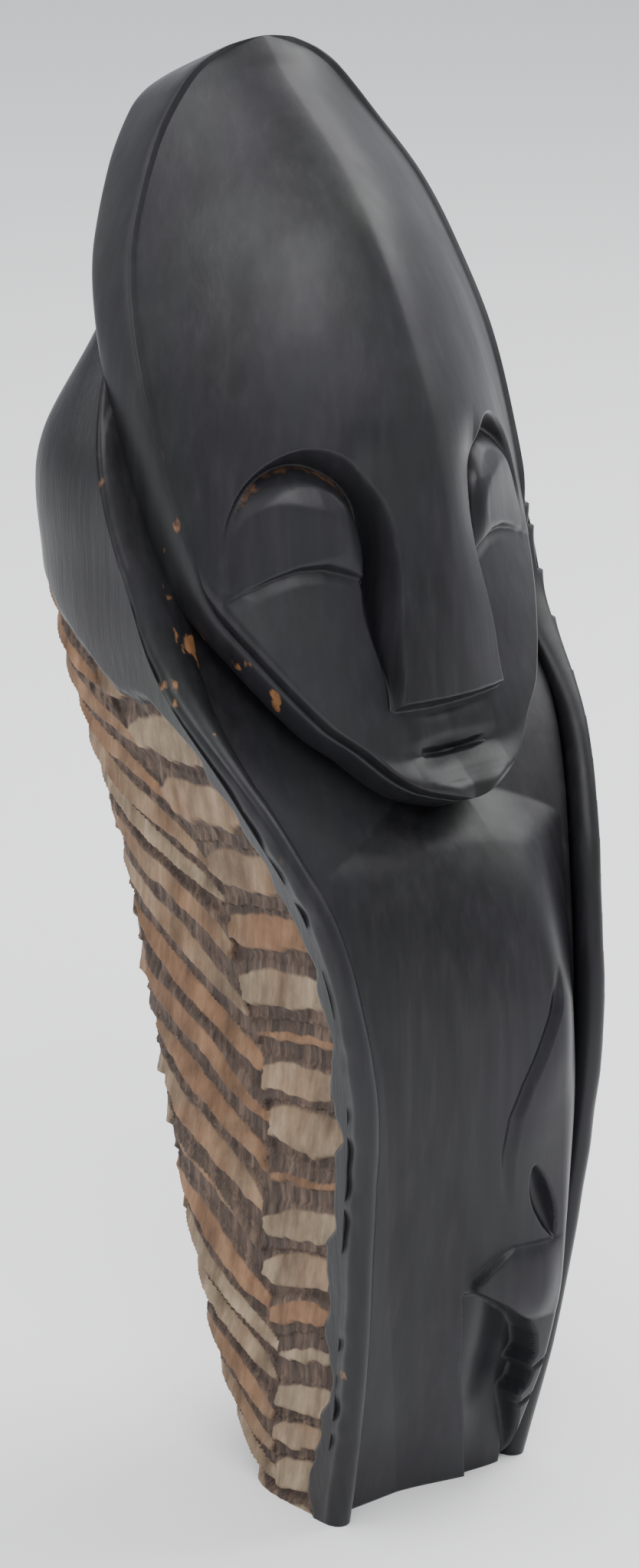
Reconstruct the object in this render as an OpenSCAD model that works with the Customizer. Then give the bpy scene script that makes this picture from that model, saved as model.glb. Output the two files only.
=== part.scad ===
// Free-standing carved figure with a mask-like face, cut from one block of black-hearted wood.
// It faces -Y and stands on z = 0; the origin is the middle of its foot.

/* [Figure] */
// Height of the whole carving
figure_h = 294; // [260:1:330]
// Greatest width, across the hair
hair_w = 104; // [94:1:114]
// Depth of the hair behind the middle axis, at its deepest
hair_back = 62; // [54:1:68]

/* [Face] */
// Width of the face where it is widest
face_w = 88; // [78:1:94]
// Angle by which the face leans back from upright
face_lean = 22.6; // [20:0.2:25]
// Thickness of the plain rim behind the face
rim_t = 11; // [8:0.5:12]
// Width of the nose at its lower end
nose_w = 27; // [22:0.5:30]
// How far the nose stands out of the cheeks at its lower end
nose_rise = 8; // [5:0.5:10]
// Depth of the eye hollows under the brows
eye_depth = 7; // [4:0.5:8]
// How far each closed eyelid swells out of its hollow
lid_rise = 5; // [3:0.5:6]

/* [Body] */
// Width of the smooth band along each front edge of the hair
band_w = 6; // [4:0.5:7]
// How far the hair swells sideways behind the bands
side_swell = 5; // [2:0.5:7]
// How far each band stands forward of the hair's front plane
band_proud = 5; // [3:0.5:6]
// How far the torso swells forward towards the left arm
chest_rise = 12; // [9:0.5:13]
// How far the forearm swells out of the torso
arm_rise = 2; // [1:0.5:4]
// How far the thumb and fingers stand out of the torso
hand_rise = 3; // [2:0.5:4]

/* [Hidden] */

// The sizes for which the tables of rows below are drawn
table_h = 294;
table_hair_w = 104;
table_back = 62;
table_face_w = 88;
table_face_l = 153;
table_nose_w = 27;
table_nose_rise = 8;
table_chest = 12;
z_scale = figure_h / table_h;
x_scale = hair_w / table_hair_w;
back_scale = hair_back / table_back;
face_x_scale = face_w / table_face_w;
swell_scale = chest_rise / table_chest;

// Depth of the groove down each side of the nose
groove_depth = 3;
// Middle and half size of each eye hollow, then of each nose groove: across, up the face
eye_mid = [24, 58];
eye_half = [14, 14];
groove_mid = [13, 42];
groove_half = [6, 26];
// Each closed eyelid is a half moon: middle and height of its straight lower edge, half width
// and height
lid_foot = [24, 50.5];
lid_half = 12;
lid_tall = 18;
// The tip of the face leans this far to the figure's right, from this place up its length
tip_drift = 2;
tip_from = 124;
// Usual distance of the rim's back behind the face's own plane
rim_reach = 16;
// A raised part rests this far above the face's own curve, which the face also reaches
face_skin = 0.5;

blackwood = "#403f44";
lid_black = "#4c4b51";
band_black = "#36353a";
sapwood = "#a08468";

// The lowest point of the face's middle line
chin_y = -21 * z_scale;
chin_z = 152 * z_scale;
face_l = table_face_l * z_scale;

// Heights where one zone of the block ends and the next begins
neck_z = 140 * z_scale;
crown_z = 192 * z_scale;
crown_top = 266 * z_scale;

// Hair and body: height, half width, front edge and back
BODY = [
    [0, 27, -14.5, 18.5],
    [14, 28, -18, 29],
    [30, 29, -21.5, 38],
    [68, 31.5, -27, 50],
    [100, 33, -29.5, 58],
    [132, 37, -23.5, 61.5],
    [156, 44.5, -11.5, 62],
    [176, 50, 4, 61],
    [196, 52, 16, 62],
    [220, 50.5, 28, 60],
    [238, 41, 38, 53],
    [252, 27, 44, 54],
    [260, 17, 46.5, 53.5],
    [266, 6, 48, 52.5]
];

// Torso: height, swell, where the swell peaks, how late it rises and how fast it falls
SWELL = [
    [0, 6, 18, 3.4, 0.75],
    [15, 8.5, 18, 3, 0.75],
    [30, 11, 18, 2.6, 0.75],
    [45, 12, 18, 2.2, 0.75],
    [60, 11, 18, 1.9, 0.75],
    [75, 10.3, 17, 1.7, 0.75],
    [90, 10, 15.5, 1.5, 0.8],
    [104, 10, 14.5, 1.4, 1.1],
    [114, 10, 13.5, 1.3, 1.4],
    [132, 9, 10, 1.2, 1.5],
    [146, 6, 7, 1.2, 1.3],
    [160, 3, 0, 1.5, 1.2],
    [200, 1.5, 0, 1.5, 1.2]
];

// Face: place up its length, half width, height at its edge and at its middle, rim thickness
FACE = [
    [0, 5, 4, 5, 1],
    [6, 14, 3, 3, 1],
    [14, 21, 1.5, 0, 1],
    [20, 26.5, 0, 3, 1],
    [36, 35, -4, 8, 1],
    [52, 41.3, -8.5, 13, 1],
    [68, 43.8, -9.3, 19, 1],
    [90, 44, -9, 19, 1],
    [109, 41, -9.5, 16.5, 1.05],
    [122, 36.6, -9, 12.5, 1.15],
    [136, 28, -7.3, 7, 1.3],
    [146, 19.6, -4, 3, 1.5],
    [149.5, 14.8, -2.6, 2.2, 1.6],
    [151.8, 9, -1.2, 1.5, 1.7],
    [153, 4, 0, 1, 1.8]
];

// Nose: place up the face, half width, height of its edges and of its ridge
NOSE = [
    [20, 13.5, 5.5, 8],
    [35, 11.2, 9.3, 12],
    [50, 9, 12, 15.5],
    [64, 9, 14.5, 19]
];

// Forearm: height, inner edge, outer edge
FOREARM = [
    [60, 12, 20],
    [66, 7, 22],
    [80, 4.5, 23],
    [95, 7, 24],
    [108, 14, 23.5],
    [116, 18, 22]
];

// Thumb, then one finger: place across the hand's slope, inner edge, outer edge
THUMB = [
    [36, 10, 18],
    [40, 6, 20],
    [45, 2, 20.5],
    [49, 0, 17],
    [52, 2, 10]
];
FINGER = [
    [0, 17, 20],
    [2.5, 15.2, 21],
    [6, 15, 21],
    [9, 16.5, 20]
];
finger_count = 3;
finger_pitch = 9.4;
finger_low = -3.2;
// Rise of the thumb and fingers for each millimetre across the figure
hand_slope = 0.75;

// The neck is set back above a collar line that dips on each side of the chest
collar_z = 146;
collar_dip = 3.5;
collar_side = 22;
collar_half = 14;
neck_back = 4.5;
// The set-back comes in over this height, and fades again where the neck runs up behind the rim
collar_fade = 5;
join_from = 170;
join_over = 20;
// The neck and torso always stand at least this far in front of the hair's plane
neck_skin = 0.8;
film = 0.02;

// Hair outline: how square its back corners are, and the heights over which they grow round
corner = 0.6;
round_from = 212;
round_over = 44;
// Rim: depth of the ledge that carries the face, bulge of its side, inset of its back edge
ledge = 3;
rim_bulge = 1.2;
rim_inset = 0.5;
// Raised parts reach this far above and into what carries them
skin = 0.2;
bed = 0.05;

// Rows of a table are joined by a smooth curve through every row
function piece_of(t, s, i = 0) = i >= len(t) - 2 || s < t[i + 1][0] ? i : piece_of(t, s, i + 1);
function slope(t, i, c) =
    let (a = max(i - 1, 0), b = min(i + 1, len(t) - 1)) (t[b][c] - t[a][c]) / (t[b][0] - t[a][0]);
function curve(t, s, c) =
    let (i = piece_of(t, s), h = t[i + 1][0] - t[i][0], k = (s - t[i][0]) / h)
    t[i][c] * (1 + 2 * k) * (1 - k) * (1 - k) + slope(t, i, c) * h * k * (1 - k) * (1 - k)
    + t[i + 1][c] * k * k * (3 - 2 * k) - slope(t, i + 1, c) * h * k * k * (1 - k);
function steps(a, b, n) = [for (i = [0 : n]) a + (b - a) * i / n];
function dome(s, power) = abs(s) >= 1 ? 0 : pow(1 - s * s, power);

function half_w(z) = curve(BODY, z / z_scale, 1) * x_scale;
function front_y(z) = curve(BODY, z / z_scale, 2) * z_scale;
function back_y(z) = curve(BODY, z / z_scale, 3) * back_scale;
function hair_front(z) = front_y(z) + band_proud;
function inner_w(z) = half_w(z) - band_w;

function ease(s) = let (k = min(max(s, 0), 1)) k * k * (3 - 2 * k);

// A point of the face: across, up its length, and out of it
function on_face(u, v, n) = [
    u - tip_drift * ease((v / z_scale - tip_from) / (table_face_l - tip_from)),
    chin_y + v * sin(face_lean) - n * cos(face_lean),
    chin_z + v * cos(face_lean) + n * sin(face_lean)
];
function face_half(v) = curve(FACE, v / z_scale, 1) * face_x_scale;
function face_edge(v) = curve(FACE, v / z_scale, 2);
function face_mid(v) = curve(FACE, v / z_scale, 3);
function face_back(v) = face_edge(v) - rim_t * curve(FACE, v / z_scale, 4);
// How deep the face is cut at a point by an eye hollow and by a nose groove
function pit(u, v, middle, half, power) = dome(norm([
    (abs(u) / face_x_scale - middle[0]) / half[0],
    (v / z_scale - middle[1]) / half[1]]), power);
function hollow(u, v) =
    eye_depth * pit(u, v, eye_mid, eye_half, 0.8)
    + groove_depth * pit(u, v, groove_mid, groove_half, 1);
function face_n(u, v) =
    let (s = u / face_half(v))
    face_edge(v) + (face_mid(v) - face_edge(v)) * (1 - pow(min(abs(s), 1), 1.9))
    - hollow(u, v) * (1 - pow(min(abs(s), 1), 6)) + face_skin;

// The back of the rim at a given height
function rim_back_v(z) = (z - chin_z + rim_reach * sin(face_lean)) / cos(face_lean);
function rim_back_y(z) =
    let (v = min(max(rim_back_v(z), 0), face_l), n = face_back(v))
    chin_y + v * sin(face_lean) - n * cos(face_lean);

// The torso's front: flat by the right band, swelling to a peak near the left arm
function torso_y(x, z) =
    let (h = z / z_scale, peak = curve(SWELL, h, 2) * x_scale, inner = inner_w(z),
        t = x < peak ? (x + inner) / (inner + peak) : (inner - x) / (inner - peak))
    hair_front(z) - swell_scale * curve(SWELL, h, 1)
        * pow(sin(90 * min(max(t, 0), 1)), curve(SWELL, h, x < peak ? 3 : 4));

// How far the neck is set back behind the torso's own curve
function collar(x) = collar_z - collar_dip * dome((abs(x) / x_scale - collar_side) / collar_half, 1);
function set_back(x, z) =
    let (h = z / z_scale)
    neck_back * ease((h - collar(x)) / collar_fade) * (1 - ease((h - join_from) / join_over));

// A closed solid through rings that all have the same number of points
module loft(rings) {
    n = len(rings[0]);
    m = len(rings);
    sides = [for (j = [0 : m - 2], i = [0 : n - 1], k = [0, 1])
        let (a = j * n + i, b = j * n + (i + 1) % n, c = a + n, d = b + n)
        k == 0 ? [a, d, b] : [a, c, d]];
    low = [for (i = [0 : n - 1]) i];
    high = [for (i = [n - 1 : -1 : 0]) (m - 1) * n + i];
    polyhedron([for (r = rings) each r], concat(sides, [low, high]));
}

// The hair's outline at one height: round the back, then straight across the front
function hair_ring(z, y0) =
    let (power = corner + (1 - corner) * ease((z / z_scale - round_from) / round_over))
    [for (a = steps(0, 180, 36))
        [(half_w(z) + side_swell * sin(a)) * sign(cos(a)) * pow(abs(cos(a)), power),
            y0 + (back_y(z) - y0) * pow(sin(a), power), z]];

module hair() {
    color(sapwood) loft([for (z = steps(0, crown_z, 48)) hair_ring(z, hair_front(z))]);
}

module crown() {
    color(band_black)
        loft([for (z = steps(crown_z, crown_top, 16)) hair_ring(z, rim_back_y(z))]);
}

// Places up the face, closer together towards both of its ends
face_places = [for (t = steps(0, 1, 56)) face_l * (0.65 * t + 0.35 * (0.5 - 0.5 * cos(180 * t)))];

module face() {
    color(blackwood) loft([for (v = face_places)
        let (w = face_half(v))
        concat(
            [for (s = steps(-1, 1, 36)) on_face(s * w, v, face_n(s * w, v))],
            [on_face(w, v, face_edge(v) - ledge), on_face(-w, v, face_edge(v) - ledge)]
        )]);
}

module face_rim() {
    color(band_black) loft([for (v = face_places)
        let (w = face_half(v), n = face_edge(v), back = face_back(v))
        [
            on_face(-w, v, n - ledge),
            on_face(w, v, n - ledge),
            on_face(w + rim_bulge, v, (n + back) / 2),
            on_face(w - rim_inset, v, back),
            on_face(rim_inset - w, v, back),
            on_face(-w - rim_bulge, v, (n + back) / 2)
        ]]);
}

// A raised part that rests on the face between u0 and u1, with its front at a height
// given by a function of the place and of the way across from -1 to 1
function on_face_ring(v, u0, u1, front) =
    let (across = function (s) (u0 + u1 + s * (u1 - u0)) / 2)
    concat(
        [for (s = steps(-1, 1, 10)) let (u = across(s))
            on_face(u, v, max(front(u, s), face_n(u, v) + skin))],
        [for (s = steps(1, -1, 10)) on_face(across(s), v, face_n(across(s), v))]
    );

module nose() {
    out = nose_rise - table_nose_rise;
    color(blackwood) loft([for (v = steps(NOSE[0][0], NOSE[len(NOSE) - 1][0], 16))
        let (w = curve(NOSE, v, 1) * nose_w / table_nose_w, edge = curve(NOSE, v, 2) + out,
            ridge = curve(NOSE, v, 3) + out)
        on_face_ring(v * z_scale, -w, w, function (u, s) edge + (ridge - edge) * dome(s, 1))]);
}

module eyelid(side) {
    color(lid_black) loft([for (a = steps(0, 78, 14))
        let (v = (lid_foot[1] + lid_tall * sin(a)) * z_scale,
            u = side * lid_foot[0] * face_x_scale, w = lid_half * face_x_scale * cos(a))
        on_face_ring(v, u - w, u + w,
            function (x, s) face_n(x, v) + lid_rise * dome(s, 0.5) * cos(a))]);
}

module right_eyelid() { eyelid(-1); }
module left_eyelid() { eyelid(1); }

module hair_band(side) {
    color(band_black) loft([for (z = steps(0, crown_z, 40))
        let (x0 = inner_w(z), y0 = hair_front(z), p = band_proud)
        [for (q = side > 0 ? steps(0, 1, 8) : steps(1, 0, 8))
            [side * (x0 + band_w * q), y0 - p * dome(2 * q - 1, 0.35), z]]]);
}

module right_hair_band() { hair_band(-1); }
module left_hair_band() { hair_band(1); }

module front_body(z0, z1, count) {
    loft([for (z = steps(z0, z1, count))
        [for (s = steps(-1, 1, 20))
            let (x = s * inner_w(z), least = hair_front(z) - neck_skin * dome(s, 0.5))
            [x, min(torso_y(x, z) + set_back(x, z), least) - film, z]]]);
}

module torso() { color(blackwood) front_body(0, neck_z, 36); }
module neck() { color(band_black) front_body(neck_z, crown_z, 18); }

// A raised part of the torso's left side, through rows of place, inner edge and outer edge
module raised(rows, rise, slope = 0) {
    low = rows[0][0];
    high = rows[len(rows) - 1][0];
    loft([for (t = steps(low + skin, high - skin, 14))
        let (x0 = curve(rows, t, 1), x1 = curve(rows, t, 2),
            taper = dome((2 * t - low - high) / (high - low), 0.4),
            point = function (s, out)
                let (x = (x0 + x1 + s * (x1 - x0)) / 2, z = (t + slope * x) * z_scale)
                [x * x_scale, torso_y(x * x_scale, z) - out, z])
        concat(
            [for (s = steps(-1, 1, 10)) point(s, skin + rise * taper * dome(s, 0.5))],
            [for (s = steps(1, -1, 10)) point(s, bed)]
        )]);
}

module left_forearm() { color(blackwood) raised(FOREARM, arm_rise); }
module left_thumb() { color(lid_black) raised(THUMB, hand_rise, hand_slope); }
module left_fingers() {
    color(lid_black) for (i = [0 : finger_count - 1])
        raised([for (r = FINGER) [r[0] + finger_low + finger_pitch * i, r[1], r[2]]],
            hand_rise, hand_slope);
}

face();
face_rim();
nose();
right_eyelid();
left_eyelid();
crown();
hair();
right_hair_band();
left_hair_band();
neck();
torso();
left_forearm();
left_thumb();
left_fingers();
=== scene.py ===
import bpy
import math
import numpy as np
from mathutils import Matrix, Vector


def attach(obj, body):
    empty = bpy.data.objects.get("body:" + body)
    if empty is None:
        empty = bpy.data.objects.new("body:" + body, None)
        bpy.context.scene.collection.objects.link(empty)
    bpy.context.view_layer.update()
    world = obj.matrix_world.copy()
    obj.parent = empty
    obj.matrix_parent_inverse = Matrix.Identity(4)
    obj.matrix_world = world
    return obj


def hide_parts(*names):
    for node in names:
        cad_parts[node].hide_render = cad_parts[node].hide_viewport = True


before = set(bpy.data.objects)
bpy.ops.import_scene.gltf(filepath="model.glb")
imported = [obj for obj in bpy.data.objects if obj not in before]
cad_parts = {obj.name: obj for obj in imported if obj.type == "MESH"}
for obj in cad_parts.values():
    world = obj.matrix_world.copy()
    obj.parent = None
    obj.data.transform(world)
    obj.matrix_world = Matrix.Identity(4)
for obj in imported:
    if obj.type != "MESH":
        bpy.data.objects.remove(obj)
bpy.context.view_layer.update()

# Sizes are in millimetres until a mesh is made
MM = 0.001

# The rows follow those of the CAD model
# Hair and body: height, half width, front edge, back
BODY = np.array([
    [0, 27, -14.5, 18.5],
    [14, 28, -18, 29],
    [30, 29, -21.5, 38],
    [68, 31.5, -27, 50],
    [100, 33, -29.5, 58],
    [132, 37, -23.5, 61.5],
    [156, 44.5, -11.5, 62],
    [176, 50, 4, 61],
    [196, 52, 16, 62],
    [220, 50.5, 28, 60],
    [238, 41, 38, 53],
    [252, 27, 44, 54],
    [260, 17, 46.5, 53.5],
    [266, 6, 48, 52.5]], float)
# Torso: height, swell, where the swell peaks, how late it rises, how fast it falls
SWELL = np.array([
    [0, 6, 18, 3.4, 0.75],
    [15, 8.5, 18, 3, 0.75],
    [30, 11, 18, 2.6, 0.7],
    [45, 12, 18, 2.2, 0.7],
    [60, 11, 18, 1.9, 0.7],
    [75, 10.3, 17, 1.7, 0.7],
    [90, 10, 15.5, 1.5, 0.8],
    [104, 10, 14.5, 1.4, 1.1],
    [114, 10, 13.5, 1.3, 1.4],
    [132, 9, 10, 1.2, 1.5],
    [146, 6, 7, 1.2, 1.3],
    [160, 3, 0, 1.5, 1],
    [200, 1.5, 0, 1.5, 1]], float)
# Face: place up its length, half width, height at its edge and at its middle, rim thickness
FACE = np.array([
    [0, 5, 4, 4.5, 1],
    [6, 14, 3, 2.5, 1],
    [14, 21, 1.5, 1, 1],
    [20, 26.5, 0, 3, 1],
    [36, 35, -4, 8, 1],
    [52, 41.3, -8.5, 13, 1],
    [68, 43.8, -9.3, 19, 1],
    [90, 44, -9, 19, 1],
    [109, 41, -9.5, 16.5, 1.05],
    [122, 36.6, -9, 12.5, 1.15],
    [136, 28, -7.3, 7, 1.3],
    [146, 19.6, -4, 3, 1.5],
    [149.5, 14.8, -2.6, 2.2, 1.6],
    [151.8, 9, -1.2, 1.5, 1.7],
    [153, 4, 0, 1, 1.8]], float)
# Nose: place up the face, half width, height of its edges and of its ridge
NOSE = np.array([[18, 13.8, 5, 7.5], [20, 13.5, 5.5, 8], [35, 11.2, 9.3, 12], [50, 9, 12, 15.5],
                 [64, 9, 14.5, 18.5], [76, 10, 16, 19.5]], float)
# Lips, cheeks and floor of the eye hollows: place up the face, height along the middle line
CHEEK = np.array([[0, 4], [3, 4.4], [6, 2], [10, 0], [14, 1.2], [20, 2.2], [28, 3.2], [36, 4.5],
                  [46, 6], [60, 8]], float)
# The brow and the side of the nose, round a middle point of the eye: angle, distance
EYE_U, EYE_V = 24, 40
BROW = np.array([[20, 17], [40, 18.4], [60, 25.5], [76, 30.6], [92, 32], [108, 28.2], [128, 22.2],
                 [145, 17.6], [170, 14], [197, 13.4], [220, 15.8], [242, 22.8], [262, 30]], float)
# The lower edge of the closed eyelid: distance from the middle, height, how far it stands out
LID = np.array([[8, 44.5, 0], [13.5, 46, 0.6], [17, 48, 1.3], [21, 50, 1.6], [26, 50.8, 1.5],
                [31, 50.2, 0.9], [36, 48.8, 0.15], [42, 47, 0]], float)

LEAN = math.radians(22.6)
CHIN_Y, CHIN_Z = -21.0, 152.0
FACE_L = 153.0
RIM_T = 11.0
RIM_REACH = 16.0
TIP_DRIFT = 2.0
TIP_FROM = 124.0
BAND_W = 6.0
BAND_PROUD = 5.0
SIDE_SWELL = 5.0
CROWN_Z = 192.0
CROWN_TOP = 266.0
# Heights over which the hair's flat front passes into the back of the rim
JOIN = (178, 200)
# Squareness of the hair's back corners, and the heights over which they grow round
CORNER = 0.6
ROUND = (212, 256)


# ---------------------------------------------------------------- shape tools
def curve(table, s, column):
    """A smooth curve through every row of a table."""
    t = table
    s = np.asarray(s, float)
    last = len(t) - 1
    slope = np.array([(t[min(i + 1, last), column] - t[max(i - 1, 0), column])
                      / (t[min(i + 1, last), 0] - t[max(i - 1, 0), 0]) for i in range(last + 1)])
    i = np.clip(np.searchsorted(t[:, 0], s, side="right") - 1, 0, last - 1)
    h = t[i + 1, 0] - t[i, 0]
    k = np.clip((s - t[i, 0]) / h, 0, 1)
    return (t[i, column] * (1 + 2 * k) * (1 - k) ** 2 + slope[i] * h * k * (1 - k) ** 2
            + t[i + 1, column] * k * k * (3 - 2 * k) - slope[i + 1] * h * k * k * (1 - k))


def smooth(a, b, x):
    """0 where x is below a, 1 where it is above b, and an even curve between."""
    k = np.clip((np.asarray(x, float) - a) / (b - a), 0, 1)
    return k * k * (3 - 2 * k)


def bump(x, power=1.0):
    """A dome over -1 to 1, highest at 0."""
    return np.clip(1 - np.asarray(x, float) ** 2, 0, 1) ** power


def noise(x, y, seed):
    """Smooth noise from -1 to 1 on the whole numbers of x and y."""
    size = 64
    table = np.random.RandomState(seed).uniform(-1, 1, (size, size))
    xi, yi = np.floor(x).astype(int), np.floor(y).astype(int)
    fx, fy = x - xi, y - yi
    fx, fy = fx * fx * (3 - 2 * fx), fy * fy * (3 - 2 * fy)

    def at(a, b):
        return table[(xi + a) % size, (yi + b) % size]

    low = at(0, 0) * (1 - fx) + at(1, 0) * fx
    high = at(0, 1) * (1 - fx) + at(1, 1) * fx
    return low * (1 - fy) + high * fy


def half_w(z):
    return curve(BODY, z, 1)


def front_y(z):
    return curve(BODY, z, 2)


def hair_front(z):
    return front_y(z) + BAND_PROUD


def face_half(v):
    return curve(FACE, v, 1)


def face_edge(v):
    return curve(FACE, v, 2)


def face_back(v):
    return face_edge(v) - RIM_T * curve(FACE, v, 4)


def on_face(u, v, n):
    """A point u across the face, v up it from the chin and n out of it."""
    # The tip leans a little to the right of the figure
    x = u - TIP_DRIFT * smooth(TIP_FROM, FACE_L, v)
    y = CHIN_Y + v * math.sin(LEAN) - n * math.cos(LEAN)
    z = CHIN_Z + v * math.cos(LEAN) + n * math.sin(LEAN)
    return np.stack([x, y, z], -1)


def rim_back_y(z):
    v = np.clip((z - CHIN_Z + RIM_REACH * math.sin(LEAN)) / math.cos(LEAN), 0, FACE_L)
    return CHIN_Y + v * math.sin(LEAN) - face_back(v) * math.cos(LEAN)


def skin(name, rings, attributes=None, normals=None):
    """A closed solid through rings of points (rows, points, 3), in millimetres."""
    rows, count = rings.shape[:2]
    j, i = np.meshgrid(np.arange(rows - 1), np.arange(count), indexing="ij")
    a = j * count + i
    b = j * count + (i + 1) % count
    quads = np.stack([a, b, b + count, a + count], -1).reshape(-1, 4)
    low = np.arange(count)[::-1]
    high = (rows - 1) * count + np.arange(count)
    loops = np.concatenate([quads.ravel(), low, high])
    starts = np.arange(len(quads) + 2) * 4
    starts[-1] += count - 4
    totals = np.concatenate([np.full(len(quads), 4), [count, count]])
    mesh = bpy.data.meshes.new(name)
    mesh.vertices.add(rows * count)
    mesh.vertices.foreach_set("co", (rings.reshape(-1, 3) * MM).ravel())
    mesh.loops.add(len(loops))
    mesh.loops.foreach_set("vertex_index", loops)
    mesh.polygons.add(len(starts))
    mesh.polygons.foreach_set("loop_start", starts)
    mesh.polygons.foreach_set("loop_total", totals)
    mesh.polygons.foreach_set("use_smooth", np.arange(len(starts)) < len(quads))
    mesh.update(calc_edges=True)
    mesh.validate()
    for key, values in (attributes or {}).items():
        layer = mesh.attributes.new(key, "FLOAT", "POINT")
        layer.data.foreach_set("value", np.asarray(values, float).ravel())
    if normals is not None:
        # The two flat ends keep their own normals
        corners = normals.reshape(-1, 3)[loops]
        corners[-2 * count:-count] = (0, 0, -1)
        corners[-count:] = (0, 0, 1)
        mesh.normals_split_custom_set(corners)
    piece = bpy.data.objects.new(name, mesh)
    bpy.context.scene.collection.objects.link(piece)
    return piece


# ---------------------------------------------------------------- the face
def forehead_n(u, v):
    """The forehead: a low ridge up its middle, falling to the edge on each side."""
    s = np.clip(np.abs(u) / face_half(v), 0, 1)
    edge = face_edge(v)
    return edge + (curve(FACE, v, 3) - edge) * (1 - s ** 1.5)


def nose_n(u, v):
    """The nose: a slab that is a little rounded across."""
    s = np.abs(u) / curve(NOSE, v, 1)
    edge = curve(NOSE, v, 2)
    return edge + (curve(NOSE, v, 3) - edge) * (1 - np.clip(s, 0, 1.6) ** 1.7)


def cheek_n(u, v):
    """The cheeks: flat in the middle, rising or falling to the rim, a little full between."""
    s = np.clip(np.abs(u) / face_half(v), 0, 1)
    middle = curve(CHEEK, v, 1)
    power = 2.6 - 1.1 * smooth(4, 26, v)
    return middle + (face_edge(v) - middle) * s ** power + np.sin(math.pi * s ** 1.3)


def soft_min(a, b, r):
    """The lower of a and b, with the corner between them rounded over about r."""
    return 0.5 * (a + b - np.sqrt((a - b) ** 2 + r * r))


def brow_gap(u, v):
    """How far a point lies inside the hollow that the brow and nose bound."""
    du, dv = np.abs(u) - EYE_U, v - EYE_V
    angle = np.degrees(np.arctan2(dv, du)) % 360
    return curve(BROW, angle, 1) - np.hypot(du, dv), angle


def eye_floor(u, v, gap, angle):
    """The cheek, the closed eyelid and the groove beside the nose."""
    a = np.abs(u)
    # The lid swells between its lower edge and the brow, with a thin line cut under that edge
    lid_top, lid_swell, line_depth = 71, 3.0, 0.45
    slit, proud = np.interp(a, LID[:, 0], LID[:, 1]), np.interp(a, LID[:, 0], LID[:, 2])
    up = np.clip((v - slit) / (lid_top - slit), 0, 1)
    swell = lid_swell * np.sin(math.pi * up ** 0.7) * smooth(10, 19, a) * (1 - smooth(32, 42, a))
    over = smooth(-0.45, 0.35, v - slit)
    lid = over * (proud + swell) - (1 - over) * line_depth * proud * (1 - smooth(0, 3.5, slit - v))
    # The groove beside the nose grows deeper and wider up the face
    groove_depth = 1.0 + 4.4 * smooth(20, 50, v)
    groove_width = 1.8 + 5.2 * smooth(20, 58, v)
    groove = groove_depth * smooth(110, 150, angle) * (1 - smooth(244, 254, angle))
    groove = groove * (1 - smooth(0.3, 1, gap / groove_width))
    # The hollow is deepest just under the brow
    brow_angle, brow_spread, brow_depth, brow_width = 96, 62, 2.6, 7
    under = bump(np.clip((angle - brow_angle) / brow_spread, -1, 1)) * (1 - smooth(0, brow_width, gap))
    return cheek_n(u, v) + lid - groove - brow_depth * under


def face_n(u, v):
    """How far the front of the face stands out of the face's own plane."""
    a = np.abs(u)
    gap, angle = brow_gap(u, v)
    # The nose runs up into the forehead
    front = forehead_n(u, v)
    front = front + (nose_n(u, v) - front) * (1 - smooth(60, 76, v)) * (1 - smooth(12, 20, a))
    # Over the brow's edge the front drops to the eye hollow; at the cheek the two are one surface
    floor = eye_floor(u, v, gap, angle)
    cheek = np.where(angle < 200, 1 - smooth(20, 50, angle), smooth(243, 252, angle))
    wall = cheek + (1 - cheek) * smooth(-0.5, 1.5, gap)
    low = cheek * floor + (1 - cheek) * soft_min(front, floor, 0.3)
    n = front + (low - front) * wall
    # The nose ends in a flat cut; below it are the upper lip, the mouth and the chin
    nose_end, mouth_v, mouth_half, mouth_depth = 19.6, 10.4, 8.2, 1.3
    upper_lip_v, lower_lip_v, lip_half, lip_rise = 14.2, 7.4, 11, 0.9
    below = 1 - smooth(-0.5, 0.6, v - nose_end - 0.004 * a ** 2)
    line = bump(np.clip((v - mouth_v - 0.008 * a ** 2) / 0.9, -1, 1))
    mouth = mouth_depth * line * bump(np.clip(a / mouth_half, 0, 1), 0.6)
    two_lips = bump(np.clip((v - upper_lip_v) / 3.8, -1, 1)) + bump(np.clip((v - lower_lip_v) / 3, -1, 1))
    lips = lip_rise * two_lips * bump(np.clip(a / lip_half, 0, 1))
    return n + (cheek_n(u, v) + lips - n) * below - mouth


def end_round(v):
    """Rounds off the chin and the tip of the face."""
    chin_round, tip_round, least = 4, 0.8, 0.0004
    near = np.clip(np.minimum(v / chin_round, (FACE_L - v) / tip_round), 0, 1)
    return np.sqrt(np.clip(1 - (1 - near) ** 2, least, 1))


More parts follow.
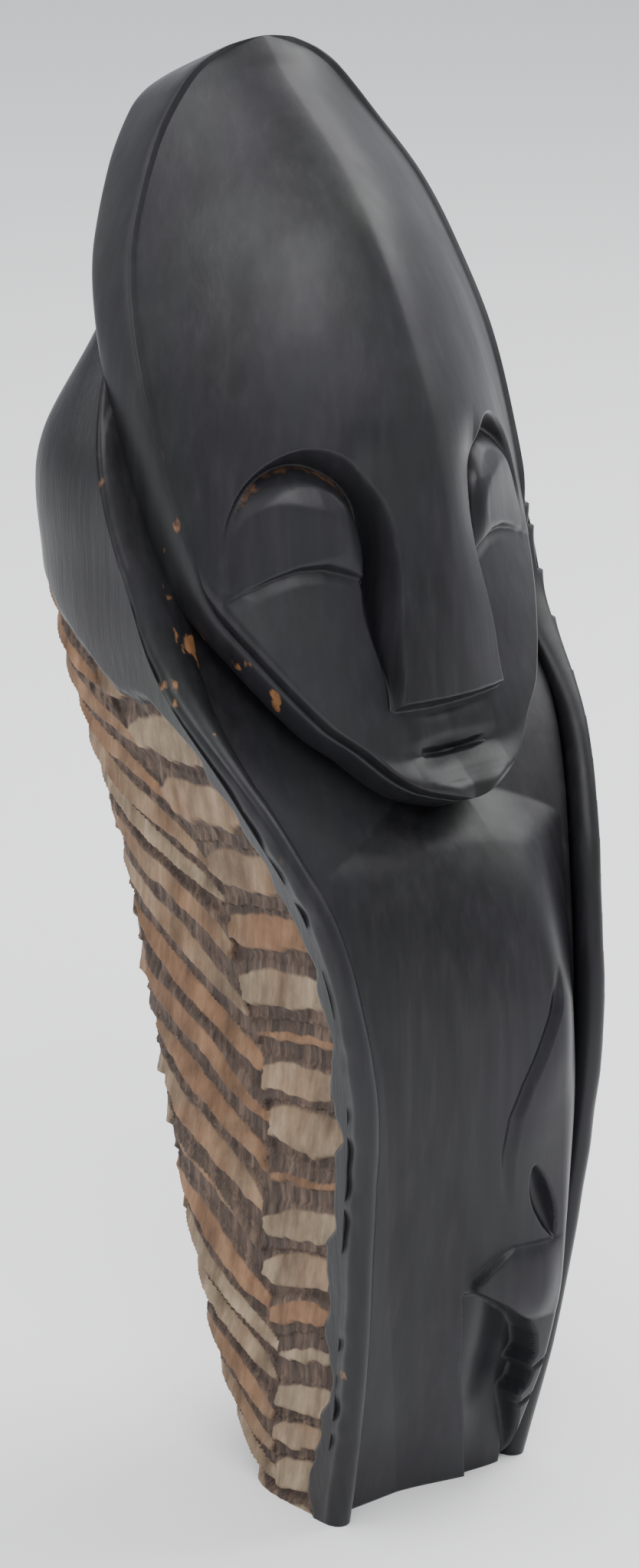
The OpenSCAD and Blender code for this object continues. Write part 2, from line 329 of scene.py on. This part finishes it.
def make_face():
    """The whole front of the face in one: forehead, nose, lids, cheeks and mouth."""
    # Rows lie close together at the chin, even over the features, then closer towards the tip
    chin, plain_from = 4, 78
    v = np.concatenate([np.linspace(0, 1, 12) ** 2 * chin, np.linspace(chin, plain_from, 270)[1:],
                        plain_from + (FACE_L - plain_from) * np.sin(np.linspace(0, math.pi / 2, 124))[1:]])
    # The columns lie closer together beside the nose
    even = np.linspace(-1, 1, 1001)
    share = np.cumsum(1 + 2.2 * np.exp(-((np.abs(even) - 0.34) / 0.14) ** 2))
    s = np.interp(np.linspace(share[0], share[-1], 241), share, even)
    half = (face_half(v) * end_round(v))[:, None]
    vv = v[:, None]
    u = s[None, :] * half
    n = face_n(u, vv)
    round_from, round_depth = 0.975, 0.9
    past = np.clip((np.abs(s) - round_from) / (1 - round_from), 0, 1)
    edge_round = round_depth * (1 - np.sqrt(bump(past)))
    n = n - edge_round[None, :]
    front = on_face(u, vv, n)
    # The back of the face is flat, and lies this far behind its edge, inside the rim
    seat = 4
    base = (face_edge(v) - seat)[:, None]
    back = on_face(np.concatenate([half, 0 * half, -half], 1), vv, base + np.zeros((1, 3)))
    rings = np.concatenate([front, back], 1)
    # Brown wood shows along the foot of each brow
    gap, angle = brow_gap(u, vv)
    fleck = bump(np.clip((gap - 2.4) / 0.9, -1, 1)) * smooth(62, 76, angle) * (1 - smooth(128, 142, angle))
    fleck = np.concatenate([fleck, np.zeros((len(v), 3))], 1)
    return skin("face_carving", rings[:, ::-1], {"fleck": fleck[:, ::-1]})


def make_rim():
    """The rim: just proud of the forehead's edge, and behind the edge round the cheeks and chin."""
    v = FACE_L * (0.5 - 0.5 * np.cos(np.linspace(0, math.pi, 260)))
    end = end_round(v)
    half = face_half(v) * end
    lip_rise, lip_drop, bulge, front_inset, back_inset = 1.0, 4.2, 1.3, 0.6, 0.8
    lip = face_edge(v) + lip_rise - lip_drop * (1 - smooth(42, 62, v))
    back = face_back(v)
    points = []
    # Half of the rim's section, from its front lip round to its back
    for k in np.linspace(0, 1, 34):
        angle = math.pi * k
        out = bulge * math.sin(angle) ** 0.55
        level = (0.5 - 0.5 * math.cos(angle)) ** 0.9
        inset = -front_inset * (k == 0) - back_inset * (k > 0.97)
        points.append((half + (out + inset) * end, lip + (back - lip) * level))
    left = [on_face(u, v, n) for u, n in points]
    right = [on_face(-u, v, n) for u, n in points[::-1]]
    rings = np.stack(left + right, 1)
    return skin("face_rim_carving", rings)


# ---------------------------------------------------------------- the body
def make_band(side):
    """The smooth band along one front edge of the hair; side is 1 for the left, -1 for the right."""
    band_top, wave_depth, bite_depth = 246, 0.25, 1.9
    z = np.linspace(0, band_top, 520)
    name = "right_band" if side < 0 else "left_band"
    # Past the hair the band widens and sinks into the shoulder of the crown
    wide = BAND_W * (1 + 1.3 * smooth(158, 196, z))
    x0, y0 = half_w(z) - wide, plane_y(z)
    proud_z = BAND_PROUD * (1 - 0.55 * smooth(150, 192, z)) * (1 - smooth(212, band_top, z))
    # The outer edge is bitten away unevenly: boldly on the left, hardly on the right
    notch = (z / 7.6 + 0.35 * noise(z / 7, 0 * z, 8)) % 1
    rough = smooth(70, 110, z) * (1 - smooth(196, 206, z))
    if side < 0:
        rough, notch = 0.3 * smooth(8, 30, z), 0.5 + 0.5 * noise(z / 4, 0 * z, 19)
    points = []
    for k in np.linspace(0, 1, 26):
        proud = proud_z * bump(2 * k - 1, 0.4)
        wave = wave_depth * noise(z / 9, 0 * z + k, 3 + side)
        bite = bite_depth * rough * (1 - notch) * smooth(0.72, 1, k) * (1 - smooth(196, 200, z))
        points.append(np.stack([side * (x0 + wide * k - bite), y0 - proud + wave * (proud > 1), z], -1))
    rings = np.stack(points if side > 0 else points[::-1], 1)
    return skin(name, rings)


def torso_y(x, z):
    """The torso's front: flat by the right band, swelling to a peak near the left arm."""
    inner = half_w(z) - BAND_W
    peak = curve(SWELL, z, 2)
    t = np.where(x < peak, (x + inner) / (inner + peak), (inner - x) / (inner - peak))
    power = np.where(x < peak, curve(SWELL, z, 3), curve(SWELL, z, 4))
    return hair_front(z) - curve(SWELL, z, 1) * np.sin(math.pi / 2 * np.clip(t, 0, 1)) ** power


# The inner edge of the forearm, the left edge of the hand and the edge of the hollow under it:
# height, then distance from the middle
FOLD = np.array([[62, 6.5], [72, 4.5], [80, 3.6], [88, 4.2], [95, 6.8], [101, 10], [108, 13.5],
                 [116, 16]], float)
HAND = np.array([[0, 20.3], [5, 19], [11, 17.5], [15, 16.4], [18, 15.4], [20.3, 14.6], [22.5, 16.2],
                 [26, 16.4], [28, 14.6], [31, 15.8], [36, 14.5], [39.5, 12.5], [42.5, 8.5], [45.5, 5],
                 [48, 1.5], [50, -1.3], [51.5, -1.2], [54, 1], [56.8, 4.2], [59, 7.5], [60, 12],
                 [61, 22]], float)
HOLLOW = np.array([[0, 8.5], [17, 3.6], [30, -0.3], [39, -1.2], [49, -2.8]], float)
# Almond-shaped hollow: middle across and up, half length, half width, lean
ALMOND = (12.6, 67.5, 9, 2.7, 0.38)
ALMOND_DEPTH = 3.4


def fold_relief(x, z):
    """A thin fold along the inner edge of the forearm, with a fine line beside it."""
    fold_rise, line_depth = 1.1, 0.5
    off = (x - np.interp(z, FOLD[:, 0], FOLD[:, 1])) * 0.8
    along = smooth(64, 84, z) * (1 - smooth(108, 118, z))
    fold = fold_rise * smooth(-0.4, 0.6, off) * (1 - smooth(2, 11, off))
    return along * (fold - line_depth * bump(np.clip(off + 0.4, -1, 1)))


def almond_relief(x, z):
    """The almond-shaped hollow between the forearm and the hand."""
    x0, z0, long_r, short_r, tilt = ALMOND
    up = np.clip((z - z0) / long_r, -1, 1)
    across = (x - x0 + tilt * (z - z0)) / (short_r * bump(up, 0.75) + 0.01)
    return -ALMOND_DEPTH * bump(np.clip(across, -1, 1), 0.8) * bump(up, 0.6)


def hand_relief(x, z):
    """The hand and thumb, the hollow under them, and two lines that part the fingers."""
    inside = smooth(-0.4, 0.5, x - np.interp(z, HAND[:, 0], HAND[:, 1]))
    thumb_z, thumb_half, thumb_rise = 49.5, 9, 2.6
    thumb = bump(np.clip((z - thumb_z) / thumb_half, -1, 1), 0.6) * (1 - smooth(12, 21, x))
    under = (1 - inside) * smooth(0, 0.9, x - np.interp(z, HOLLOW[:, 0], HOLLOW[:, 1]))
    under = under * (1 - smooth(47.5, 49.5, z))
    out = inside * thumb_rise * thumb - under * ((2.0 + 5.6 * smooth(0, 13, x)) * smooth(-14, 30, z))
    line_half, slope, line_x = 0.9, 0.72, 15
    for foot in (26.0, 16.6):
        line = z - foot - slope * (x - line_x)
        out = out - bump(np.clip(line / line_half, -1, 1)) * inside * (1 - smooth(21, 25, x))
    return out


def front_relief(x, z):
    """How far the left arm and hand stand out of the torso, or are cut into it."""
    return fold_relief(x, z) + almond_relief(x, z) + hand_relief(x, z)


def make_torso():
    """The torso and neck in one, with the arm and hand carved on their left."""
    z = np.linspace(0, CROWN_Z, 440)
    s = np.linspace(-1, 1, 190)
    zz = z[:, None]
    x = s[None, :] * (half_w(zz) - BAND_W)
    # The neck is set back above a collar line that dips on each side of the chest
    collar_z, dip, dip_x, dip_half, neck_back = 146, 3.5, 22, 14, 4.5
    collar = collar_z - dip * bump(np.clip((np.abs(x) - dip_x) / dip_half, -1, 1))
    y = torso_y(x, zz) - front_relief(x, zz) + neck_back * smooth(-4, 9, zz - collar)
    # It always stays a little in front of the hair's plane
    y = np.minimum(y, plane_y(zz) - 0.3 - 0.5 * bump(s[None, :], 0.5))
    return skin("torso_carving", np.stack([x, y, zz + 0 * x], -1))


def hair_outline(z, y0, a):
    """A point of the hair's outline at angle a (0 to 180 degrees) and height z."""
    ca, sa = np.cos(np.radians(a)), np.sin(np.radians(a))
    back = curve(BODY, z, 3)
    square = CORNER + (1 - CORNER) * smooth(*ROUND, z)
    x = (half_w(z) + SIDE_SWELL * sa) * np.sign(ca) * np.abs(ca) ** square
    return x, y0 + (back - y0) * np.clip(sa, 0, 1) ** square


def plane_y(z):
    """The flat front that the hair and crown share with the torso, neck and rim."""
    k = smooth(*JOIN, z)
    return hair_front(z) * (1 - k) + rim_back_y(z) * k


# Columns of gouge cuts on one side of the hair: where each starts and ends, as a part of the way
# round to the middle of the back, and how much its cuts climb towards the back
COLUMNS = [(0.0, 0.27, -0.22), (0.27, 0.66, 0.48), (0.66, 1.0, -0.3)]
CUT_PITCH = 10.2
CUT_DEPTH = 2.5
# Where the lower lip of a cut lies in each column, as a part of the way up its row
LIP = (0.22, 0.33, 0.32)
CUT_ROWS = 48
# The rows are counted from this far below the foot, as cuts that climb start lower down
FIRST_ROW = -80
# Points round the hair's outline
HAIR_COLUMNS = 561


def cut_rows(seed):
    """Uneven rows of cuts up one column: edges, then for each a depth, tone, fullness and shift."""
    r = np.random.RandomState(seed)
    count = CUT_ROWS
    # The cuts are smaller towards the foot
    pitch = CUT_PITCH * np.interp(np.arange(count), [8, 18], [0.78, 1.06])
    edges = np.cumsum(r.uniform(0.76, 1.26, count) * pitch) + FIRST_ROW
    # About one cut in six is a mere nick
    full = np.where(r.uniform(0, 1, count) < 0.16, 0.3, r.uniform(0.85, 1, count))
    return edges, r.uniform(0.7, 1.2, count), r.uniform(0, 1, count), full, r.uniform(-1, 1, count)


def hair_cuts(round_mm, z, half_mm, side):
    """Depth of the gouge cuts, how smooth the cut is there, its tone, and where sapwood shows."""
    depth, facet, tone = 0 * round_mm, 0 * round_mm, 0 * round_mm
    seed = 40 + 10 * (side > 0)
    part = round_mm / half_mm + 0.03 * noise(z / 9, 0 * z, seed) + 0.012 * noise(z / 2.5, round_mm / 4, seed)
    for c, (start, end, climb) in enumerate(COLUMNS):
        across = (part - start) / (end - start)
        # The first and last columns also take what lies past their outer edges
        inside = (across >= (0 if c else -9)) & (across < (1 if c < 2 else 9))
        across = np.clip(across, 0, 1)
        middle = half_mm * (start + end) / 2
        lean = z - climb * (round_mm - middle) + 1.6 * noise(round_mm / 11, z / 16, seed + c)
        lean = lean + 4.0 * (across - 0.5) ** 2 + 0.35 * noise(round_mm / 2.3, z / 6, seed + c + 3)
        edges, deep, tones, full, aside = cut_rows(seed + c)
        row = np.searchsorted(edges, lean.ravel(), side="right") - 1
        row = np.clip(row, 0, CUT_ROWS - 2).reshape(lean.shape)
        t = (lean - edges[row]) / (edges[row + 1] - edges[row])
        # Each cut is a leaf, full in its middle and narrow at both ends. From its lip, which
        # stands proud, it slopes inwards up to its crest; torn wood fills the rest of the row.
        shape = bump(np.clip((across - 0.5 - 0.07 * aside[row]) / 0.58, -1, 1)) ** 0.42 * full[row]
        lip = LIP[c] + 0.38 * (1 - shape) + 0.06 * noise(round_mm / 2.6, z / 3, seed + c + 5)
        crest = 1.0 - 0.35 * (1 - shape) - 0.05 * tones[row]
        down = np.clip((t - lip) / (1 - lip), 0, 1)
        up = (t - lip) / (crest - lip)
        cut = 0.1 + 0.9 * down ** 0.8
        rest = (1 - shape) * 0.5
        on_facet = smooth(-0.07, 0.07, t - lip)
        hollow = 1.0 - 0.25 * smooth(0.0, 0.12, 0.12 - t)
        level = (rest + (1 - rest) * cut) * on_facet + (1 - on_facet) * hollow
        depth = np.where(inside, deep[row] * level, depth)
        facet = np.where(inside, on_facet * (1 - smooth(0.82, 1.04, up)) * smooth(0.1, 0.3, shape), facet)
        tone = np.where(inside, tones[row], tone)
    fibre = noise(round_mm / 0.8, z / 7, 5) * 0.5 + noise(round_mm / 1.9, z / 3, 6) * 0.5
    torn_depth, ripple_depth = 0.42, 0.07
    rough = (1 - facet) * torn_depth * fibre + facet * ripple_depth * noise(round_mm / 3, z / 0.9, 7)
    # The cuts stop short of the smooth band and of the smooth shoulder above
    top = 168 + 32 * smooth(0.05, 0.6, part) + 5 * noise(round_mm / 8, 0 * z, 9)
    near = 2.6 + 1.9 * noise(z / 5, 0 * z, 12 + side)
    amount = smooth(0, 1.8, round_mm - near) * (1 - smooth(-3, 3, z - top))
    foot = smooth(0, 2.5, z)
    return (CUT_DEPTH * np.clip(depth, 0, 1.3) + rough) * amount * (0.4 + 0.6 * foot), facet, tone, amount


def body_skin(name, z, part=(0, 1)):
    """The outside of the hair and crown between two heights, cut by the gouge.

    The part runs from 0 at the figure's left band to 1 at its right band.
    """
    # One more row at each end gives the end rows the same normals as the piece beyond them
    z = np.concatenate([[2 * z[0] - z[1]], z, [2 * z[-1] - z[-2]]])
    fine = np.linspace(0, 180, 1441)
    x, y = hair_outline(z[:, None], plane_y(z)[:, None], fine[None, :])
    step = np.hypot(np.diff(x, axis=1), np.diff(y, axis=1))
    run = np.concatenate([np.zeros((len(z), 1)), np.cumsum(step, 1)], 1)
    place_on = np.linspace(0, 1, HAIR_COLUMNS)
    px, py = np.empty((len(z), HAIR_COLUMNS)), np.empty((len(z), HAIR_COLUMNS))
    for i in range(len(z)):
        px[i] = np.interp(place_on * run[i, -1], run[i], x[i])
        py[i] = np.interp(place_on * run[i, -1], run[i], y[i])
    tx, ty = np.gradient(px, axis=1), np.gradient(py, axis=1)
    size = np.hypot(tx, ty)
    half_mm = run[:, -1:] / 2
    zz = z[:, None] + 0 * px
    values = []
    for side in (1, -1):
        along = (place_on if side > 0 else 1 - place_on)[None, :] * half_mm * 2
        values.append(hair_cuts(along, zz, half_mm + 0 * px, side))
    left = place_on[None, :] < 0.5
    depth, facet, tone, amount = [np.where(left, a, b) for a, b in zip(*values)]
    depth = depth + 0.25 * (1 - amount) * (1 + noise(px / 11, zz / 13, 21)) * smooth(0, 6, zz)
    px, py = px - depth * ty / size, py + depth * tx / size
    keep = (place_on >= part[0] - 1e-9) & (place_on <= part[1] + 1e-9)
    rings = np.stack([px, py, zz], -1)
    normals = np.cross(np.gradient(rings, axis=1), np.gradient(rings, axis=0))
    normals = normals / np.linalg.norm(normals, axis=2, keepdims=True)
    # Closed along the flat front; a half piece also turns at the middle of that front
    middle = np.stack([0 * z, plane_y(z), z], -1)[:, None]
    ahead = np.zeros((len(z), 1, 3)) + (0, -1, 0)
    extra = np.zeros((len(z), 1))
    layers = {"facet": facet * amount, "tone": tone, "sap": amount}
    layers = {key: np.concatenate([value[:, keep], extra], 1)[1:-1] for key, value in layers.items()}
    return skin(name, np.concatenate([rings[:, keep], middle], 1)[1:-1], layers,
                np.concatenate([normals[:, keep], ahead], 1)[1:-1])


def make_crown():
    """The smooth shoulder behind the rim; at the back the cuts run a little way up it."""
    return body_skin("crown_carving", np.linspace(CROWN_Z, CROWN_TOP, 110))


def make_hair(part, name):
    """One side of the hair."""
    return body_skin(name, np.linspace(0, CROWN_Z, 350), part)


# ---------------------------------------------------------------- materials
class Nodes:
    """A short way to write a node material."""

    def __init__(self, name):
        self.material = bpy.data.materials.new(name)
        self.material.use_nodes = True
        self.tree = self.material.node_tree
        self.shader = self.tree.nodes["Principled BSDF"]

    def add(self, kind, inputs=None, **settings):
        node = self.tree.nodes.new(kind)
        for key, value in settings.items():
            setattr(node, key, value)
        for key, value in (inputs or {}).items():
            if isinstance(value, bpy.types.NodeSocket):
                self.tree.links.new(value, node.inputs[key])
            else:
                node.inputs[key].default_value = value
        return node

    def place_at(self, scale):
        """Object coordinates stretched by scale, in repeats a metre."""
        coord = self.add("ShaderNodeTexCoord").outputs["Object"]
        return self.add("ShaderNodeMapping", {"Vector": coord, "Scale": scale}).outputs["Vector"]

    def noise(self, scale, detail=4.0, rough=0.55):
        node = self.add("ShaderNodeTexNoise", {"Vector": self.place_at(scale), "Scale": 1.0,
                                               "Detail": detail, "Roughness": rough})
        return node.outputs["Fac"]

    def ramp(self, value, stops):
        node = self.add("ShaderNodeValToRGB", {"Fac": value})
        ramp = node.color_ramp
        while len(ramp.elements) < len(stops):
            ramp.elements.new(0.5)
        for element, (at, color) in zip(ramp.elements, stops):
            element.position = at
            element.color = (*color, 1)
        return node.outputs["Color"]

    def mix(self, factor, a, b, blend="MIX"):
        node = self.add("ShaderNodeMix", data_type="RGBA", blend_type=blend)
        for socket, value in ((node.inputs[0], factor), (node.inputs[6], a), (node.inputs[7], b)):
            if isinstance(value, bpy.types.NodeSocket):
                self.tree.links.new(value, socket)
            elif isinstance(value, tuple):
                socket.default_value = (*value, 1)
            else:
                socket.default_value = value
        return node.outputs[2]

    def math(self, operation, a, b):
        return self.add("ShaderNodeMath", {0: a, 1: b}, operation=operation).outputs[0]

    def attribute(self, name):
        return self.add("ShaderNodeAttribute", attribute_name=name).outputs["Fac"]

    def bump(self, height, strength, distance, normal=None):
        inputs = {"Height": height, "Strength": strength, "Distance": distance}
        if normal is not None:
            inputs["Normal"] = normal
        return self.add("ShaderNodeBump", inputs).outputs["Normal"]

    def finish(self, color, rough, normal, **levels):
        links = self.tree.links
        links.new(color, self.shader.inputs["Base Color"])
        links.new(rough, self.shader.inputs["Roughness"])
        links.new(normal, self.shader.inputs["Normal"])
        for key, value in levels.items():
            self.shader.inputs[key.replace("_", " ")].default_value = value
        return self.material


def grey(value):
    return (value, value, value)


def black_wood_look(m):
    """Colour, roughness and surface of the polished black heartwood."""
    grain = m.noise((420, 420, 16), 5, 0.6)
    cloud = m.noise((28, 28, 9), 3)
    hue = m.noise((55, 55, 22), 2)
    color = m.ramp(grain, [(0.3, (0.0055, 0.0055, 0.0060)), (0.55, (0.0105, 0.0102, 0.0118)),
                           (0.8, (0.019, 0.0183, 0.0205))])
    color = m.mix(m.ramp(cloud, [(0.4, grey(0)), (0.7, grey(0.5))]), color, (0.021, 0.019, 0.027))
    color = m.mix(m.ramp(hue, [(0.48, grey(0)), (0.72, grey(0.5))]), color, (0.013, 0.0165, 0.0125))
    rough = m.ramp(m.noise((90, 90, 20), 4), [(0.3, grey(0.30)), (0.7, grey(0.46))])
    fine = m.bump(m.noise((900, 900, 45), 3), 0.06, 0.0004)
    normal = m.bump(m.noise((60, 60, 25), 2), 0.07, 0.002, fine)
    return color, rough, normal


def fleck_color(m):
    """Brown sapwood that shows through the black."""
    return m.ramp(m.noise((500, 500, 200), 2), [(0.3, (0.10, 0.045, 0.018)), (0.7, (0.26, 0.125, 0.055))])


# Flecks set in between these places across the figure, and lie between these heights, in metres
FLECK_X = (-0.020, -0.030)
FLECK_HEIGHTS = [(0.145, 0.222), (0.018, 0.055)]


def fleck_mask(m, low, high):
    """Small flecks of brown wood on the figure's right side, between two heights in metres."""
    coord = m.add("ShaderNodeTexCoord").outputs["Object"]
    spot = m.add("ShaderNodeSeparateXYZ", {"Vector": coord})
    height = m.add("ShaderNodeMapRange", {"Value": spot.outputs["Z"], "From Min": low, "From Max": high})
    inside = m.ramp(height.outputs["Result"],
                    [(0.0, grey(0)), (0.2, grey(1)), (0.8, grey(1)), (1.0, grey(0))])
    side = m.add("ShaderNodeMapRange", {"Value": spot.outputs["X"], "From Min": FLECK_X[0],
                                        "From Max": FLECK_X[1]})
    spots = m.ramp(m.noise((210, 210, 120), 3, 0.5), [(0.635, grey(0)), (0.68, grey(0.9))])
    both = m.math("MULTIPLY", inside, side.outputs["Result"])
    return m.math("MULTIPLY", both, spots)


def black_wood(name, fleck_heights=(), brow=False):
    """Black heartwood, plain or with brown flecks at some heights or under the brows."""
    m = Nodes(name)
    color, rough, normal = black_wood_look(m)
    for low, high in fleck_heights:
        color = m.mix(fleck_mask(m, low, high), color, fleck_color(m))
    if brow:
        broken = m.ramp(m.noise((420, 420, 420), 3), [(0.46, grey(0)), (0.62, grey(0.45))])
        color = m.mix(m.math("MULTIPLY", m.attribute("fleck"), broken), color, fleck_color(m))
    return m.finish(color, rough, normal, Specular_IOR_Level=0.26)


def sap_wood(name):
    """Raw brown sapwood: pale or orange on each cut; between the cuts torn wood, partly its own dark brown
    and partly painted shade in the hollows; black where smooth.
    """
    m = Nodes(name)
    dark, dark_rough, _ = black_wood_look(m)
    facet, tone, sap = m.attribute("facet"), m.attribute("tone"), m.attribute("sap")
    streak = m.noise((260, 260, 40), 5, 0.65)
    blotch = m.noise((60, 60, 40), 3)
    light = m.ramp(streak, [(0.28, (0.135, 0.094, 0.060)), (0.5, (0.225, 0.165, 0.108)),
                            (0.72, (0.34, 0.262, 0.180))])
    orange = m.ramp(streak, [(0.3, (0.115, 0.054, 0.026)), (0.7, (0.245, 0.122, 0.060))])
    warm = m.math("ADD", m.math("MULTIPLY", tone, 0.6), m.math("MULTIPLY", blotch, 0.7))
    light = m.mix(m.ramp(warm, [(0.52, grey(0)), (0.82, grey(0.8))]), light, orange)
    soil = m.ramp(m.noise((110, 110, 70), 4, 0.6), [(0.35, grey(0.55)), (0.6, grey(1.0))])
    light = m.mix(1.0, light, soil, "MULTIPLY")
    # The torn wood in the hollows between the cuts: partly its own dark brown, partly painted shade that
    # makes the hollows darker
    torn_with_shade = m.ramp(m.noise((520, 520, 50), 5, 0.7),
                  [(0.3, (0.020, 0.014, 0.012)), (0.5, (0.062, 0.042, 0.032)),
                   (0.72, (0.155, 0.105, 0.075))])
    # Noise breaks up the edge of each cut, and the edge between sapwood and black
    tear = m.math("SUBTRACT", m.noise((330, 330, 120), 4), 0.5)
    ragged = m.math("ADD", facet, m.math("MULTIPLY", tear, 0.7))
    color = m.mix(m.ramp(ragged, [(0.2, grey(0)), (0.75, grey(1))]), torn_with_shade, light)
    drift = m.math("SUBTRACT", m.noise((200, 200, 60), 3), 0.5)
    edge = m.math("ADD", sap, m.math("MULTIPLY", drift, 0.9))
    color = m.mix(m.ramp(edge, [(0.45, grey(0)), (0.62, grey(1))]), dark, color)
    rough = m.mix(m.ramp(sap, [(0.3, grey(0)), (0.7, grey(1))]), dark_rough, grey(0.75))
    # The fibres stand out far less where the wood is smooth
    torn_by = m.math("ADD", 0.22, m.math("MULTIPLY", sap, 0.78))
    fibres = m.bump(m.math("MULTIPLY", m.noise((700, 700, 40), 4, 0.7), torn_by), 0.6, 0.0009)
    normal = m.bump(m.math("MULTIPLY", m.noise((240, 240, 120), 4), torn_by), 0.35, 0.001, fibres)
    return m.finish(color, rough, normal, Specular_IOR_Level=0.3)


black = black_wood("blackwood")
brow_black = black_wood("brow_blackwood", brow=True)
flecked = black_wood("flecked_blackwood", fleck_heights=FLECK_HEIGHTS)
tan = sap_wood("sapwood")


def place(piece, mat, slot, *nodes):
    """Gives a piece its material, hangs it on the root body and hides the CAD nodes it takes the place of.
    """
    piece.data.materials.append(mat)
    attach(piece, "root")
    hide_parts(*nodes)


place(make_face(), brow_black, "blackwood", "face", "nose", "right_eyelid", "left_eyelid")
place(make_rim(), flecked, "blackwood", "face_rim")
place(make_band(-1), flecked, "blackwood", "right_hair_band")
place(make_band(1), black, "blackwood", "left_hair_band")
place(make_torso(), black, "blackwood", "torso", "neck", "left_forearm", "left_thumb",
      "left_fingers")
place(make_crown(), tan, "blackwood", "crown")
place(make_hair((0, 0.5), "left_hair_carving"), tan, "sapwood", "hair")
place(make_hair((0.5, 1), "right_hair_carving"), tan, "sapwood", "hair")


# ---------------------------------------------------------------- floor, light, camera
def make_floor():
    bpy.ops.mesh.primitive_plane_add(size=6)
    floor = bpy.context.object
    floor.name = "floor"
    m = Nodes("floor")
    m.shader.inputs["Base Color"].default_value = (0.95, 0.95, 0.95, 1)
    m.shader.inputs["Roughness"].default_value = 0.9
    floor.data.materials.append(m.material)


def make_light(name, azimuth, elevation, distance, size, power):
    """A soft square lamp that looks at the middle of the figure; azimuth 0 is straight in front."""
    light = bpy.data.lights.new(name, "AREA")
    light.size = size
    light.energy = power
    lamp = bpy.data.objects.new(name, light)
    bpy.context.scene.collection.objects.link(lamp)
    a, e = math.radians(azimuth), math.radians(elevation)
    spot = Vector((math.sin(a) * math.cos(e), -math.cos(a) * math.cos(e), math.sin(e))) * distance
    aim = Vector((0, 0.01, 0.15))
    lamp.location = aim + spot
    lamp.rotation_euler = (-spot).to_track_quat("-Z", "Y").to_euler()


def make_camera():
    azimuth, elevation, distance = math.radians(-40), math.radians(18.5), 0.85
    # Focal length in heights of the picture, and the height of the film
    focal, film = 2.7378, 24
    # The camera aims this far across from the figure's axis and above its foot
    aim_across, aim_z = -0.0144, 0.15
    across = Vector((math.cos(azimuth), math.sin(azimuth), 0))
    back = Vector((math.sin(azimuth) * math.cos(elevation), -math.cos(azimuth) * math.cos(elevation),
                   math.sin(elevation)))
    target = across * aim_across + Vector((0, 0, aim_z))
    data = bpy.data.cameras.new("camera")
    data.sensor_fit = "VERTICAL"
    data.sensor_height = film
    data.lens = film * focal
    data.clip_start = 0.05
    camera = bpy.data.objects.new("camera", data)
    bpy.context.scene.collection.objects.link(camera)
    up = back.cross(across)
    camera.matrix_world = Matrix((
        (across.x, up.x, back.x, 0), (across.y, up.y, back.y, 0), (across.z, up.z, back.z, 0),
        (0, 0, 0, 1)))
    camera.location = target + back * distance
    bpy.context.scene.camera = camera


make_floor()
make_light("key", 78, 46, 1.3, 1.1, 18)
make_light("left", -112, 34, 1.4, 1.1, 9)
make_light("top", 170, 62, 1.3, 1.0, 4)
make_light("front", -30, 52, 1.5, 0.8, 13)
make_camera()
world = bpy.data.worlds.new("studio")
world.use_nodes = True
world.node_tree.nodes["Background"].inputs["Color"].default_value = (0.93, 0.95, 1.0, 1)
world.node_tree.nodes["Background"].inputs["Strength"].default_value = 0.85
bpy.context.scene.world = world
